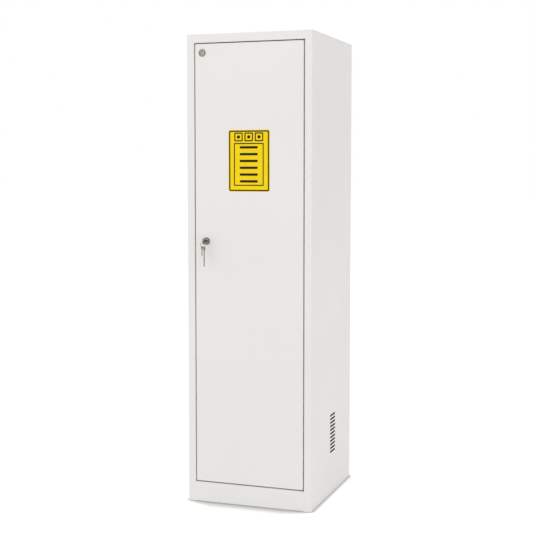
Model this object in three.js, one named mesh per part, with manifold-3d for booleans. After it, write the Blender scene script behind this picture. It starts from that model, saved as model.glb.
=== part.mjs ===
// Corrosives cabinet: a tall, narrow cabinet of folded steel sheet with one hinged door.
//
// Units are millimetres. +Z is up, the door faces -Y and hangs on its right side, +X.
// The origin lies on the floor, under the middle of the whole outline with the key in its lock.
// Inside the cabinet group, y = 0 is the front face and y counts backwards from it.
//
// The door's lock drives a toothed wheel, which shoots one rod up and one rod down behind the
// folded lips of the frame. The model rests unlocked: the rods are drawn in, the middle cam points
// up and the upper cam points down, so the door is free to swing.

import * as THREE from 'three';
import { mergeVertices } from 'three/addons/utils/BufferGeometryUtils.js';
import Module from 'manifold-3d';

const wasm = await Module();
wasm.setup();

// Body

const WIDTH = 500;
const DEPTH = 550;
const HEIGHT = 1800;
const SHEET = 1.2;                    // thickness of the folded steel sheet
const BEND = 1.8;                     // bend radius, at the middle of the sheet
const BEND_STEPS = 3;
const GAP = 0.3;                      // clearance between pieces that meet
const HOLE_PLAY = 0.5;                // clearance of a pin or a barrel in its hole
const STILE = 29.5;                   // visible width of the frame at each side of the door
const TOP_RAIL = 32;
const PLINTH = 77;
const STOP_DEPTH = 25;                // front face of the stop lip, behind the front face
const STOP_LIP = 14;                  // how far the stop lip reaches into the opening
const REAR_FLANGE = 15;
const BASE_FLANGE = 24;
const WELD_FLANGE = 12;
const FLOOR_SKIRT = 20;

const HALF = SHEET / 2;
const OPENING_X = WIDTH / 2 - STILE;
const OPENING_TOP = HEIGHT - TOP_RAIL;
const STOP_BACK = STOP_DEPTH + SHEET;
const INNER_X = WIDTH / 2 - SHEET - GAP;
const PANEL_TOP = HEIGHT - SHEET - GAP;
const FLOOR_TOP = PLINTH;

// Vent slots, low in both sides

const VENT_COUNT = 11;
const VENT_PITCH = 14.6;
const VENT_LOWEST = 169.5;
const VENT_MIDDLE = 288;              // distance of the slots' middle behind the front face
const VENT_LENGTH = 70;
const VENT_HEIGHT = 8;
const VENT_CORNER = 1.2;

// Shelving: slotted uprights, hooked hangers and lift-out trays

const UPRIGHT_MIDDLES = { front: 90, rear: 480 };
const UPRIGHT_FOOT = 40;
const UPRIGHT_FACE = 20;
const UPRIGHT_DEPTH = 10;
const UPRIGHT_SPAN = [130, 1700];
const UPRIGHT_SLOT = { first: 160, pitch: 50, count: 31, length: 13, height: 4 };
const UPRIGHT_X = INNER_X - UPRIGHT_DEPTH;
const HANGER_PLATE = 2;
const HANGER_LEDGE = 12;
const HANGER_LEG = 22;
const HANGER_OVERRUN = 14;            // past the middle of each upright
const HOOK_WIDTH = 10;
const HOOK_LENGTH = 7;
const HOOK_DROP = 8;                  // the hook enters its slot this far below the ledge
const TRAY_HALF_WIDTH = 232;
const TRAY_FRONT = 45;
const TRAY_REAR = 520;
const TRAY_RIM = 30;
const TRAY_CORNER = 8;
const TRAY_SLOTS = { lower: 7, middle: 15, upper: 23 };
const SUMP_RIM = 55;

// Door

const DOOR_GAP = 4.2;
const DOOR_X = OPENING_X - DOOR_GAP;
const DOOR_BOTTOM = PLINTH + DOOR_GAP;
const DOOR_TOP = OPENING_TOP - DOOR_GAP;
const DOOR_DEPTH = 20;
const DOOR_LIP = 15;
const CORNER_RELIEF = BEND + HALF;    // the notch that a folded corner needs
const STIFFENER_SPAN = [110, 1690];
const STIFFENER_FOOT = 10;
const LATCH_STIFFENER = [-198, -146];
const HINGE_STIFFENER = [110, 150];
const PIVOT_X = DOOR_X - 10;
const PIVOT_Y = 7;
const PIN_RADIUS = 3;
const PIN_REACH = 15;
const PIN_HEAD = { radius: 4.8, height: 2.5 };
const BUSH_RADIUS = 4.5;
const BUSH_FLANGE = { radius: 6.3, height: 1.2 };
const BUMPER = { x: -212, radius: 5, heights: { lower: 260, upper: 1560 } };

// Locks

const LOCK_X = -172;
const LOCK_Z = 1016;
const UPPER_LOCK_X = -187;
const UPPER_LOCK_Z = 1730;
const ROSE = {
  radius: 14.5,
  height: 2.5,
  collar: 8.6,
  groove: [9.4, 11.4],
  grooveHeight: 1.7,
  bead: [12.3, 13.3],
  beadHeight: 2.3,
  shoulder: 14.2,
  shoulderHeight: 1.6,
  edgeHeight: 0.9,
};
const BARREL_RADIUS = 10;
const PLUG_RADIUS = 6.5;
const PLUG_FACE = -1.6;
const TUBE_SLOT = { post: 2.6, radius: 5.8, bottom: 6, notch: 1.6 };
const SPINDLE = 6;                    // side of the square spindle
const NUT_RADIUS = 14;
const NUT_SPAN = [SHEET + GAP, 6];
const CAM_THICKNESS = 2.5;
const CAM_REACH = 44;
const UPPER_CAM_REACH = 30;
const UPPER_BARREL_END = STOP_BACK + 0.4;
const SCREW_RADIUS = 4;
const SCREW_HEIGHT = 2.6;

// Rod drive behind the door

const CASE_Z = [976, 1056];
const CASE_FRONT = DOOR_DEPTH + GAP;
const ROD_FRONT = STOP_BACK + 0.8;
const ROD_THICKNESS = 4;
const ROD_WIDTH = 8;
const ROD_BACK = ROD_FRONT + ROD_THICKNESS;
const COVER_FRONT = ROD_BACK + 0.5;
const COVER_BACK = COVER_FRONT + SHEET;
const CASE_SCREWS = { lower: LOCK_Z - 30, upper: LOCK_Z + 30 };
const MODULE_SIZE = 1.5;
const TEETH = 16;
const PITCH_RADIUS = (MODULE_SIZE * TEETH) / 2;
const TOOTH_PITCH = Math.PI * MODULE_SIZE;
const BACKLASH = 0.4;
const ADDENDUM = 1.4;
const DEDENDUM = 1.9;
const FLANK = Math.tan(THREE.MathUtils.degToRad(20));
const RACK_TEETH = 8;
const ROD_TRAVEL = (PITCH_RADIUS * Math.PI) / 2;
const TOP_ROD_TIP = OPENING_TOP - STOP_LIP - 3;
const BOTTOM_ROD_TIP = PLINTH + STOP_LIP + 7;
const ROD_GUIDES = {
  top_rod: { side: 1, heights: { lower: 1200, upper: 1660 } },
  bottom_rod: { side: -1, heights: { lower: 160, upper: 780 } },
};
const GUIDE_WIDTH = 16;
const GUIDE_HEIGHT = 16;
const GUIDE_PLAY = 0.6;

// Keys

const KEY_THICKNESS = 2.2;
const KEY_BOW = { middle: -28, radius: 11.5 };
const KEY_HOLE = { y: -31, drop: 2, radius: 3 };
const KEY_NECK = 9;
const KEY_SHOULDER = -3;
const KEY_BLADE = { tip: 15, height: 6.6 };
const RING = { radius: 10, wire: 0.8, x: -174, play: 1.1 };
const LONG_KEY = { x: -169, top: 998, bottom: 920.5, bow: 9, hole: 2.6, blade: 7 };
const SHORT_KEY = { x: -178, top: 998, bottom: 961, bow: 6.5, hole: 2.4, blade: 5 };
const KEY_REACH = 40;                 // how far the keys stand in front of the front face

const RING_TOP = LOCK_Z - KEY_HOLE.drop - KEY_HOLE.radius + RING.wire + RING.play;
const RING_Z = RING_TOP - RING.radius;

// Solids: extrusions, turned shapes and booleans

// A shape drawn in x and y, run up from z0 to z1.
function alongZ(shape, z0, z1, curveSegments = 6) {
  const geometry = new THREE.ExtrudeGeometry(shape, { depth: z1 - z0, bevelEnabled: false, curveSegments });
  return geometry.translate(0, 0, z0);
}

// A shape drawn in y and z, run across from x0 to x1.
function alongX(shape, x0, x1, curveSegments = 6) {
  const geometry = new THREE.ExtrudeGeometry(shape, { depth: x1 - x0, bevelEnabled: false, curveSegments });
  const turn = new THREE.Matrix4().makeBasis(
    new THREE.Vector3(0, 1, 0),
    new THREE.Vector3(0, 0, 1),
    new THREE.Vector3(1, 0, 0),
  );
  return geometry.applyMatrix4(turn).translate(x0, 0, 0);
}

// A shape drawn in x and z, run from y0 at the front to y1 behind.
function alongY(shape, y0, y1, curveSegments = 6) {
  const geometry = new THREE.ExtrudeGeometry(shape, { depth: y1 - y0, bevelEnabled: false, curveSegments });
  return geometry.rotateX(Math.PI / 2).translate(0, y1, 0);
}

function block([x0, x1], [y0, y1], [z0, z1]) {
  const geometry = new THREE.BoxGeometry(Math.abs(x1 - x0), y1 - y0, z1 - z0);
  return geometry.translate((x0 + x1) / 2, (y0 + y1) / 2, (z0 + z1) / 2);
}

function circle(x, y, radius) {
  return new THREE.Shape().absarc(x, y, radius, 0, 2 * Math.PI);
}

function square(x, y, side) {
  return polygon([[-1, -1], [1, -1], [1, 1], [-1, 1]].map(([u, v]) => [x + (u * side) / 2, y + (v * side) / 2]));
}

function polygon(points) {
  return new THREE.Shape(points.map(([x, y]) => new THREE.Vector2(x, y)));
}

function hexagon(x, y, radius) {
  const corner = (i) => (i * Math.PI) / 3;
  return polygon([0, 1, 2, 3, 4, 5].map((i) => [x + radius * Math.cos(corner(i)), y + radius * Math.sin(corner(i))]));
}

function roundedRectangle(x0, x1, y0, y1, radius) {
  return new THREE.Shape()
    .absarc(x1 - radius, y0 + radius, radius, -Math.PI / 2, 0)
    .absarc(x1 - radius, y1 - radius, radius, 0, Math.PI / 2)
    .absarc(x0 + radius, y1 - radius, radius, Math.PI / 2, Math.PI)
    .absarc(x0 + radius, y0 + radius, radius, Math.PI, (3 * Math.PI) / 2);
}

// The section of a folded sheet: its middle line runs from point to point, and each corner
// of that line becomes an arc of the bend radius.
function foldedSection(path) {
  const corners = path.map(([x, y]) => new THREE.Vector2(x, y));
  const origin = new THREE.Vector2();
  const oneFace = [];
  const otherFace = [];
  const heading = (i) => corners[i + 1].clone().sub(corners[i]).normalize();
  const square90 = (direction, length) => new THREE.Vector2(-direction.y, direction.x).multiplyScalar(length);
  const station = (point, direction) => {
    oneFace.push(point.clone().add(square90(direction, HALF)));
    otherFace.unshift(point.clone().sub(square90(direction, HALF)));
  };

  station(corners[0], heading(0));
  for (let i = 1; i < corners.length - 1; i += 1) {
    const before = heading(i - 1);
    const turn = Math.atan2(before.cross(heading(i)), before.dot(heading(i)));
    const start = corners[i].clone().addScaledVector(before, -BEND * Math.tan(Math.abs(turn) / 2));
    const centre = start.clone().add(square90(before, BEND * Math.sign(turn)));
    for (let step = 0; step <= BEND_STEPS; step += 1) {
      const angle = (turn * step) / BEND_STEPS;
      station(start.clone().rotateAround(centre, angle), before.clone().rotateAround(origin, angle));
    }
  }
  station(corners[corners.length - 1], heading(corners.length - 2));
  return new THREE.Shape([...oneFace, ...otherFace]);
}

// A profile of [radius, y] points turned about the line through x and z that runs front to back.
function turned(profile, x, z, segments = 24) {
  const points = profile.map(([radius, y]) => new THREE.Vector2(radius, y));
  const loop = THREE.ShapeUtils.area(points) < 0 ? points.reverse() : points;
  return new THREE.LatheGeometry([...loop, loop[0]], segments).translate(x, 0, z);
}

// The same about an upright line through x and y, with [radius, z] points.
function turnedUpright(profile, x, y, segments = 20) {
  return turned(profile, 0, 0, segments).rotateX(Math.PI / 2).translate(x, y, 0);
}

function toSolid(geometry) {
  const bare = geometry.clone();
  bare.deleteAttribute('normal');
  bare.deleteAttribute('uv');
  const merged = mergeVertices(bare);
  const triangles = [];
  for (let i = 0; i < merged.index.count; i += 3) {
    const [a, b, c] = [0, 1, 2].map((k) => merged.index.getX(i + k));
    if (a !== b && b !== c && c !== a) {
      triangles.push(a, b, c);
    }
  }
  return new wasm.Manifold(new wasm.Mesh({
    numProp: 3,
    vertProperties: merged.attributes.position.array,
    triVerts: new Uint32Array(triangles),
  }));
}

function toGeometry(solid) {
  const mesh = solid.getMesh();
  const geometry = new THREE.BufferGeometry();
  geometry.setAttribute('position', new THREE.BufferAttribute(mesh.vertProperties, 3));
  geometry.setIndex(new THREE.BufferAttribute(mesh.triVerts, 1));
  geometry.computeVertexNormals();
  return geometry;
}

function cut(base, ...tools) {
  return toGeometry(tools.reduce((solid, tool) => solid.subtract(toSolid(tool)), toSolid(base)));
}

function join(base, ...others) {
  return toGeometry(others.reduce((solid, other) => solid.add(toSolid(other)), toSolid(base)));
}

function span(a, b) {
  return [Math.min(a, b), Math.max(a, b)];
}

function repeat(count, make) {
  return Array.from({ length: count }, (unused, i) => make(i));
}

// Finishes

const FINISHES = {
  paint: { color: '#e2e1dd', roughness: 0.5, metalness: 0 },
  zinc: { color: '#b9bbbd', roughness: 0.42, metalness: 1 },
  nickel: { color: '#c9c3b4', roughness: 0.28, metalness: 1 },
  nylon: { color: '#2b2c2e', roughness: 0.6, metalness: 0 },
  rubber: { color: '#1d1d1e', roughness: 0.8, metalness: 0 },
  polymer: { color: '#d9dbd8', roughness: 0.55, metalness: 0 },
};

// Body panels

// One sheet: the side, the visible stile with its return into the opening, and the rear flange.
function sidePanel(side) {
  const returnX = OPENING_X + HALF;
  const webX = WIDTH / 2 - HALF;
  const folded = alongZ(foldedSection([
    [side * returnX, STOP_DEPTH - BEND],
    [side * returnX, HALF],
    [side * webX, HALF],
    [side * webX, DEPTH - HALF],
    [side * (WIDTH / 2 - REAR_FLANGE), DEPTH - HALF],
  ]), 0, PANEL_TOP);
  const baseFlange = block(
    span(side * (webX - BASE_FLANGE), side * webX),
    [STOP_BACK + 4, DEPTH - 4 * CORNER_RELIEF],
    [0, SHEET],
  );
  const vents = repeat(VENT_COUNT, (i) => {
    const z = VENT_LOWEST + i * VENT_PITCH;
    const outline = roundedRectangle(
      VENT_MIDDLE - VENT_LENGTH / 2,
      VENT_MIDDLE + VENT_LENGTH / 2,
      z - VENT_HEIGHT / 2,
      z + VENT_HEIGHT / 2,
      VENT_CORNER,
    );
    return alongX(outline, ...span(side * (WIDTH / 2 - 5), side * (WIDTH / 2 + 5)), 2);
  });
  return cut(join(folded, baseFlange), ...vents);
}

// An angle welded beside the stile's return. Its lip stops the door.
function doorStop(side) {
  const lipY = STOP_DEPTH + HALF;
  const legX = OPENING_X + SHEET + GAP + HALF;
  return alongZ(foldedSection([
    [side * (OPENING_X - STOP_LIP), lipY],
    [side * legX, lipY],
    [side * legX, PIVOT_Y],
  ]), PLINTH + STOP_LIP + GAP, OPENING_TOP - STOP_LIP - GAP);
}

function topPanel() {
  const lipY = STOP_DEPTH + HALF;
  const folded = alongX(foldedSection([
    [lipY, OPENING_TOP - STOP_LIP],
    [lipY, OPENING_TOP + HALF],
    [HALF, OPENING_TOP + HALF],
    [HALF, HEIGHT - HALF],
    [DEPTH - HALF, HEIGHT - HALF],
    [DEPTH - HALF, HEIGHT - REAR_FLANGE],
  ]), -WIDTH / 2, WIDTH / 2);
  const underTop = [OPENING_TOP - TOP_RAIL, HEIGHT - SHEET];
  const frontNotches = [-1, 1].map((side) => block(
    span(side * (OPENING_X - GAP), side * WIDTH),
    [-1, STOP_BACK + 1],
    underTop,
  ));
  const rearNotches = [-1, 1].map((side) => block(
    span(side * (WIDTH / 2 - REAR_FLANGE - GAP), side * WIDTH),
    [DEPTH - REAR_FLANGE, DEPTH + 1],
    underTop,
  ));
  const weldFlanges = [-1, 1].map((side) => block(
    span(side * (INNER_X - SHEET), side * INNER_X),
    [2 * STOP_DEPTH, DEPTH - 2 * REAR_FLANGE],
    [HEIGHT - HALF - WELD_FLANGE, HEIGHT - HALF],
  ));
  const pinHole = alongZ(circle(PIVOT_X, PIVOT_Y, PIN_RADIUS + HOLE_PLAY), OPENING_TOP - 1, OPENING_TOP + 5);
  return join(cut(folded, ...frontNotches, ...rearNotches, pinHole), ...weldFlanges);
}

function backPanel() {
  const back = DEPTH - SHEET - GAP;
  const reach = INNER_X - CORNER_RELIEF;
  return block([-reach, reach], [back - SHEET, back], [0, PANEL_TOP - CORNER_RELIEF]);
}

function frontPlinth() {
  const folded = alongX(foldedSection([
    [STOP_DEPTH, HALF],
    [HALF, HALF],
    [HALF, PLINTH - HALF],
    [STOP_DEPTH + HALF, PLINTH - HALF],
    [STOP_DEPTH + HALF, PLINTH + STOP_LIP],
  ]), GAP - OPENING_X, OPENING_X - GAP);
  return cut(folded, alongZ(circle(PIVOT_X, PIVOT_Y, PIN_RADIUS + HOLE_PLAY), PLINTH - 5, PLINTH + 1));
}

// An inverted pan: the bottom of the storage space, with a skirt turned down all round.
function floorPanel() {
  const front = STOP_BACK + GAP;
  const rear = DEPTH - 2 * SHEET - 2 * GAP - HALF;
  const bottom = FLOOR_TOP - FLOOR_SKIRT;
  const outer = alongZ(roundedRectangle(-INNER_X, INNER_X, front, rear, SHEET * 2), bottom, FLOOR_TOP, 2);
  const inner = alongZ(
    roundedRectangle(SHEET - INNER_X, INNER_X - SHEET, front + SHEET, rear - SHEET, SHEET),
    bottom - 1,
    FLOOR_TOP - SHEET,
    2,
  );
  return cut(outer, inner);
}

// Shelving

function upright(side, middle) {
  const footX = side * (INNER_X - HALF);
  const faceX = side * (UPRIGHT_X + HALF);
  const folded = alongZ(foldedSection([
    [footX, middle - UPRIGHT_FOOT / 2],
    [footX, middle - UPRIGHT_FACE / 2],
    [faceX, middle - UPRIGHT_FACE / 2],
    [faceX, middle + UPRIGHT_FACE / 2],
    [footX, middle + UPRIGHT_FACE / 2],
    [footX, middle + UPRIGHT_FOOT / 2],
  ]), ...UPRIGHT_SPAN);
  const slots = repeat(UPRIGHT_SLOT.count, (i) => {
    const z = UPRIGHT_SLOT.first + i * UPRIGHT_SLOT.pitch;
    return block(
      span(faceX - 2, faceX + 2),
      [middle - UPRIGHT_SLOT.length / 2, middle + UPRIGHT_SLOT.length / 2],
      [z - UPRIGHT_SLOT.height / 2, z + UPRIGHT_SLOT.height / 2],
    );
  });
  return cut(folded, ...slots);
}

function trayBottom(slotNumber) {
  return UPRIGHT_SLOT.first + slotNumber * UPRIGHT_SLOT.pitch + HOOK_DROP;
}

// An angle that carries one side of a tray. Its leg hooks into a slot of the front upright and
// into one of the rear upright.
function trayHanger(side, ledgeTop) {
  const backX = UPRIGHT_X - GAP;
  const hookX = UPRIGHT_X + SHEET + 2 * GAP;
  const tabTop = HANGER_PLATE / 2 - HOOK_DROP;
  const outline = (points) => polygon(points.map(([x, z]) => [side * x, ledgeTop + z]));
  const angle = outline([
    [backX - HANGER_LEDGE, 0],
    [backX, 0],
    [backX, -HANGER_LEG],
    [backX - HANGER_PLATE, -HANGER_LEG],
    [backX - HANGER_PLATE, -HANGER_PLATE],
    [backX - HANGER_LEDGE, -HANGER_PLATE],
  ]);
  const hook = outline([
    [backX - HANGER_PLATE / 2, tabTop],
    [hookX + HANGER_PLATE, tabTop],
    [hookX + HANGER_PLATE, tabTop - HOOK_LENGTH],
    [hookX, tabTop - HOOK_LENGTH],
    [hookX, tabTop - HANGER_PLATE],
    [backX - HANGER_PLATE / 2, tabTop - HANGER_PLATE],
  ]);
  const { front, rear } = UPRIGHT_MIDDLES;
  return join(
    alongY(angle, front - HANGER_OVERRUN, rear + HANGER_OVERRUN),
    ...[front, rear].map((middle) => alongY(hook, middle - HOOK_WIDTH / 2, middle + HOOK_WIDTH / 2)),
  );
}

// A welded tray with an upright rim and rounded corners.
function tray(bottom, rim) {
  const outer = roundedRectangle(-TRAY_HALF_WIDTH, TRAY_HALF_WIDTH, TRAY_FRONT, TRAY_REAR, TRAY_CORNER);
  const inner = roundedRectangle(
    SHEET - TRAY_HALF_WIDTH,
    TRAY_HALF_WIDTH - SHEET,
    TRAY_FRONT + SHEET,
    TRAY_REAR - SHEET,
    TRAY_CORNER - SHEET,
  );
  return cut(alongZ(outer, bottom, bottom + rim, 3), alongZ(inner, bottom + SHEET, bottom + rim + 1, 3));
}

// Door

// Two folded channels joined over the same front sheet give a pan with its edges turned in.
// Each channel ends short of the other's bend, which leaves the relief notch at every corner.
function doorSkin() {
  const backY = DOOR_DEPTH - HALF;
  const across = foldedSection([
    [DOOR_LIP - DOOR_X, backY],
    [HALF - DOOR_X, backY],
    [HALF - DOOR_X, HALF],
    [DOOR_X - HALF, HALF],
    [DOOR_X - HALF, backY],
    [DOOR_X - DOOR_LIP, backY],
  ]);
  const upDown = foldedSection([
    [backY, DOOR_BOTTOM + DOOR_LIP],
    [backY, DOOR_BOTTOM + HALF],
    [HALF, DOOR_BOTTOM + HALF],
    [HALF, DOOR_TOP - HALF],
    [backY, DOOR_TOP - HALF],
    [backY, DOOR_TOP - DOOR_LIP],
  ]);
  const pan = join(
    alongZ(across, DOOR_BOTTOM + CORNER_RELIEF, DOOR_TOP - CORNER_RELIEF),
    alongX(upDown, CORNER_RELIEF - DOOR_X, DOOR_X - CORNER_RELIEF),
  );
  const bushHole = circle(PIVOT_X, PIVOT_Y, BUSH_RADIUS + HOLE_PLAY);
  return cut(
    pan,
    barrelHole(LOCK_X, LOCK_Z, -1, DOOR_DEPTH / 2),
    barrelHole(UPPER_LOCK_X, UPPER_LOCK_Z, -1, DOOR_DEPTH / 2),
    alongZ(bushHole, DOOR_BOTTOM - 1, DOOR_BOTTOM + 5),
    alongZ(bushHole, DOOR_TOP - 5, DOOR_TOP + 1),
  );
}

function barrelHole(x, z, y0, y1) {
  return alongY(circle(x, z, BARREL_RADIUS + HOLE_PLAY), y0, y1, 10);
}

// A hat section: two feet on the back of the door's skin and a crown level with its turned-in lips.
function stiffener([x0, x1]) {
  const footY = SHEET + GAP + HALF;
  const crownY = DOOR_DEPTH - HALF;
  return alongZ(foldedSection([
    [x0 - STIFFENER_FOOT, footY],
    [x0 + HALF, footY],
    [x0 + HALF, crownY],
    [x1 - HALF, crownY],
    [x1 - HALF, footY],
    [x1 + STIFFENER_FOOT, footY],
  ]), ...STIFFENER_SPAN);
}

function latchStiffener() {
  return cut(stiffener(LATCH_STIFFENER), barrelHole(LOCK_X, LOCK_Z, DOOR_DEPTH / 2, DOOR_DEPTH + 1));
}

// A pin with a round head, standing up through the sill or, with up = -1, down through the top rail.
function pivotPin(sheetFace, up) {
  const seat = sheetFace - up * (SHEET + GAP);
  return turnedUpright([
    [0, seat - up * PIN_HEAD.height],
    [PIN_HEAD.radius, seat - up * PIN_HEAD.height],
    [PIN_HEAD.radius, seat],
    [PIN_RADIUS, seat],
    [PIN_RADIUS, seat + up * PIN_REACH],
    [PIN_RADIUS - 1, seat + up * (PIN_REACH + 1)],
    [0, seat + up * (PIN_REACH + 1)],
  ], PIVOT_X, PIVOT_Y);
}

// A flanged bush in the door's edge: its flange lies outside the door, its sleeve inside.
function pivotBush(doorFace, inward) {
  const bore = PIN_RADIUS + GAP;
  const seat = doorFace - inward * GAP;
  return turnedUpright([
    [bore, seat - inward * BUSH_FLANGE.height],
    [BUSH_FLANGE.radius, seat - inward * BUSH_FLANGE.height],
    [BUSH_FLANGE.radius, seat],
    [BUSH_RADIUS, seat],
    [BUSH_RADIUS, seat + inward * 7],
    [bore, seat + inward * 7],
  ], PIVOT_X, PIVOT_Y);
}

function pivotWasher() {
  const bottom = PLINTH + GAP;
  const top = DOOR_BOTTOM - 2 * GAP - BUSH_FLANGE.height;
  return turnedUpright([
    [PIN_RADIUS + GAP, bottom],
    [BUSH_FLANGE.radius, bottom],
    [BUSH_FLANGE.radius, top],
    [PIN_RADIUS + GAP, top],
  ], PIVOT_X, PIVOT_Y);
}

function doorBumper(z) {
  return turned([
    [0, DOOR_DEPTH + GAP],
    [BUMPER.radius - 1.5, DOOR_DEPTH + GAP],
    [BUMPER.radius, DOOR_DEPTH + 2],
    [BUMPER.radius, STOP_DEPTH - GAP],
    [0, STOP_DEPTH - GAP],
  ], BUMPER.x, z, 16);
}

// Locks

// A threaded barrel behind a round rose, whose face has a collar, a groove and a beaded rim.
function lockBody(x, z, barrelEnd) {
  const bore = PLUG_RADIUS + GAP;
  return turned([
    [bore, GAP - ROSE.height],
    [bore + GAP, -ROSE.height],
    [ROSE.collar, -ROSE.height],
    [ROSE.groove[0], -ROSE.grooveHeight],
    [ROSE.groove[1], -ROSE.grooveHeight],
    [ROSE.bead[0], -ROSE.beadHeight],
    [ROSE.bead[1], -ROSE.beadHeight],
    [ROSE.shoulder, -ROSE.shoulderHeight],
    [ROSE.radius, -ROSE.edgeHeight],
    [ROSE.radius, -GAP],
    [BARREL_RADIUS, -GAP],
    [BARREL_RADIUS, barrelEnd],
    [bore, barrelEnd],
  ], x, z, 32);
}

function lockNut(x, z) {
  return cut(alongY(hexagon(x, z, NUT_RADIUS), ...NUT_SPAN), barrelHole(x, z, NUT_SPAN[0] - 1, NUT_SPAN[1] + 1));
}

// A turning core: a round plug with the given front, as [radius, y] points, and a square spindle
// behind it.
function plugBlank(front, x, z, plugEnd, spindleEnd) {
  const core = turned([...front, [PLUG_RADIUS, plugEnd], [0, plugEnd]], x, z);
  return join(core, alongY(square(x, z, SPINDLE), plugEnd - 1, spindleEnd));
}

// The middle lock's plug takes a flat key.
function lockPlug(x, z, plugEnd, spindleEnd) {
  const front = [[0, PLUG_FACE], [PLUG_RADIUS - 0.5, PLUG_FACE], [PLUG_RADIUS, PLUG_FACE + 0.5]];
  const keyway = block(
    [x - KEY_THICKNESS / 2 - 0.4, x + KEY_THICKNESS / 2 + 0.4],
    [PLUG_FACE - 1, KEY_BLADE.tip + 1],
    [z - KEY_BLADE.height / 2 - 0.6, z + KEY_BLADE.height / 2 + 0.6],
  );
  return cut(plugBlank(front, x, z, plugEnd, spindleEnd), keyway);
}

// The upper lock's plug takes a tubular key, in a ring-shaped slot with a notch at its top.
function tubularPlug(x, z, plugEnd, spindleEnd) {
  const front = [
    [0, PLUG_FACE],
    [TUBE_SLOT.post, PLUG_FACE],
    [TUBE_SLOT.post, TUBE_SLOT.bottom],
    [TUBE_SLOT.radius, TUBE_SLOT.bottom],
    [TUBE_SLOT.radius, PLUG_FACE],
    [PLUG_RADIUS, PLUG_FACE],
  ];
  const notch = block(
    [x - TUBE_SLOT.notch / 2, x + TUBE_SLOT.notch / 2],
    [PLUG_FACE - 1, PLUG_FACE + TUBE_SLOT.notch],
    [z + TUBE_SLOT.radius - 1, z + PLUG_RADIUS + 1],
  );
  return cut(plugBlank(front, x, z, plugEnd, spindleEnd), notch);
}

// A tapered arm, broad round the spindle and narrow at its tip; up = 1 points it up.
function cam(x, z, reach, up, front) {
  const hub = 9;
  const tip = 6;
  const arm = new THREE.Shape()
    .absarc(x, z, hub, up > 0 ? Math.PI : 0, up > 0 ? 2 * Math.PI : Math.PI)
    .absarc(x, z + up * (reach - tip), tip, up > 0 ? 0 : Math.PI, up > 0 ? Math.PI : 2 * Math.PI);
  const hole = alongY(square(x, z, SPINDLE + 2 * GAP), front - 1, front + CAM_THICKNESS + 1);
  return cut(alongY(arm, front, front + CAM_THICKNESS, 8), hole);
}

function camScrew(x, z, front) {
  return turned([
    [0, front],
    [SCREW_RADIUS, front],
    [SCREW_RADIUS, front + SCREW_HEIGHT - 1],
    [SCREW_RADIUS - 1, front + SCREW_HEIGHT],
    [0, front + SCREW_HEIGHT],
  ], x, z, 16);
}

function lockCase() {
  const [x0, x1] = LATCH_STIFFENER;
  const baseY = CASE_FRONT + HALF;
  const channel = alongZ(foldedSection([
    [x0 + HALF, COVER_FRONT - GAP],
    [x0 + HALF, baseY],
    [x1 - HALF, baseY],
    [x1 - HALF, COVER_FRONT - GAP],
  ]), ...CASE_Z);
  const through = [CASE_FRONT - 1, CASE_FRONT + SHEET + 1];
  return cut(
    channel,
    alongY(circle(LOCK_X, LOCK_Z, SPINDLE), ...through),
    ...Object.values(CASE_SCREWS).map((z) => alongY(circle(LOCK_X, z, 2 + GAP), ...through)),
  );
}

// The screws' conical heads sit flush in conical holes, so the cam passes over them.
function countersunkScrew(z, grow) {
  const past = grow > 0 ? 0.5 : 0;
  return turned([
    [0, CASE_FRONT + GAP],
    [2 + grow, CASE_FRONT + GAP],
    [2 + grow, COVER_FRONT],
    [3.2 + grow, COVER_BACK],
    [3.2 + grow, COVER_BACK + past],
    [0, COVER_BACK + past],
  ], LOCK_X, z, 12);
}

function lockCaseCover() {
  const [x0, x1] = LATCH_STIFFENER;
  return cut(
    alongY(roundedRectangle(x0, x1, ...CASE_Z, 4), COVER_FRONT, COVER_BACK, 3),
    alongY(circle(LOCK_X, LOCK_Z, SPINDLE), COVER_FRONT - 1, COVER_BACK + 1),
    ...Object.values(CASE_SCREWS).map((z) => countersunkScrew(z, GAP)),
  );
}

// Half the thickness of a tooth at a given height over the pitch line; lower down it is thicker.
function halfTooth(height) {
  return (TOOTH_PITCH / 2 - BACKLASH) / 2 - height * FLANK;
}

// The toothed wheel, with a hub in front of it that rests on the case.
function drivePinion() {
  const tip = PITCH_RADIUS + ADDENDUM;
  const root = PITCH_RADIUS - DEDENDUM;
  const points = [];
  for (let tooth = 0; tooth < TEETH; tooth += 1) {
    const middle = (tooth * 2 * Math.PI) / TEETH;
    const flanks = [
      [root, -halfTooth(-DEDENDUM) / root],
      [tip, -halfTooth(ADDENDUM) / tip],
      [tip, halfTooth(ADDENDUM) / tip],
      [root, halfTooth(-DEDENDUM) / root],
    ];
    for (const [radius, angle] of flanks) {
      points.push([LOCK_X + radius * Math.cos(middle + angle), LOCK_Z + radius * Math.sin(middle + angle)]);
    }
  }
  const hub = alongY(circle(LOCK_X, LOCK_Z, 8), CASE_FRONT + SHEET + GAP, ROD_FRONT + 1, 8);
  const hole = alongY(square(LOCK_X, LOCK_Z, SPINDLE + 2 * GAP), CASE_FRONT, ROD_BACK + 1);
  return cut(join(alongY(polygon(points), ROD_FRONT, ROD_BACK), hub), hole);
}

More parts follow.
